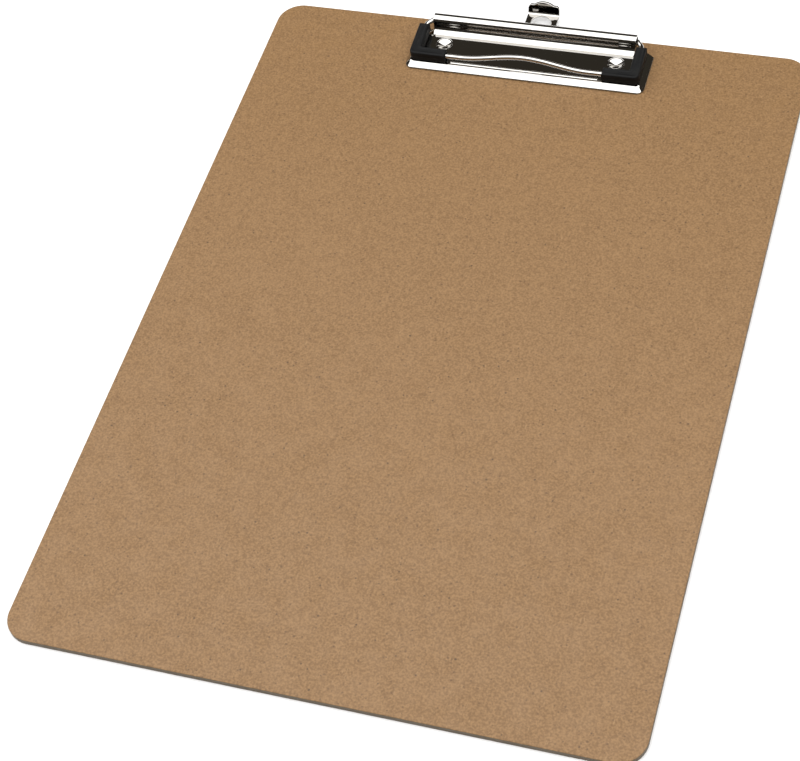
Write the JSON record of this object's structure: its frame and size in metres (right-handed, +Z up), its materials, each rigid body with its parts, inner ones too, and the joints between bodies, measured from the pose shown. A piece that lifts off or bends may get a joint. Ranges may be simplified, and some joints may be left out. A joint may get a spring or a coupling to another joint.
{
  "type": "wire-bail clipboard",
  "caption": "Flat hardboard clipboard with round corners, a riveted chromed clip pan, a sprung wire bail with corner grips that holds paper, and a sliding hanger strip with an eyelet.",
  "frame": {"origin": "centre of the board's flat underside", "axes": "+X across the board to the right, +Y along the board towards the clip and hanger, +Z up out of the writing face"},
  "size_m": [0.225, 0.3261, 0.012],
  "materials": {
    "hardboard": "satin pressed fibre, smooth face",
    "pan_chrome": "bright chrome on pressed steel sheet",
    "wire_chrome": "bright chrome on spring steel wire",
    "grip_rubber": "matte black moulded rubber",
    "rivet_chrome": "bright plated steel",
    "hanger_chrome": "bright chrome on steel strip"
  },
  "bodies": {
    "board_assembly": {"board": "hardboard", "base_plate": "pan_chrome", "left_rivet": "rivet_chrome", "right_rivet": "rivet_chrome"},
    "bail": {"bail_wire": "wire_chrome", "left_grip": "grip_rubber", "right_grip": "grip_rubber"},
    "hanger_strip": {"hanger": "hanger_chrome"}
  },
  "joints": [
    {"name": "bail_hinge", "type": "hinge", "parent": "board_assembly", "child": "bail", "pos_m": [0, 0.1519, 0.0083], "axis": [-1, 0, 0], "range_deg": [0, 50], "stiffness_Nm_per_rad": 0.4},
    {"name": "hanger_slide", "type": "slide", "parent": "board_assembly", "child": "hanger_strip", "axis": [0, 1, 0], "range_m": [-0.0105, 0]}
  ]
}
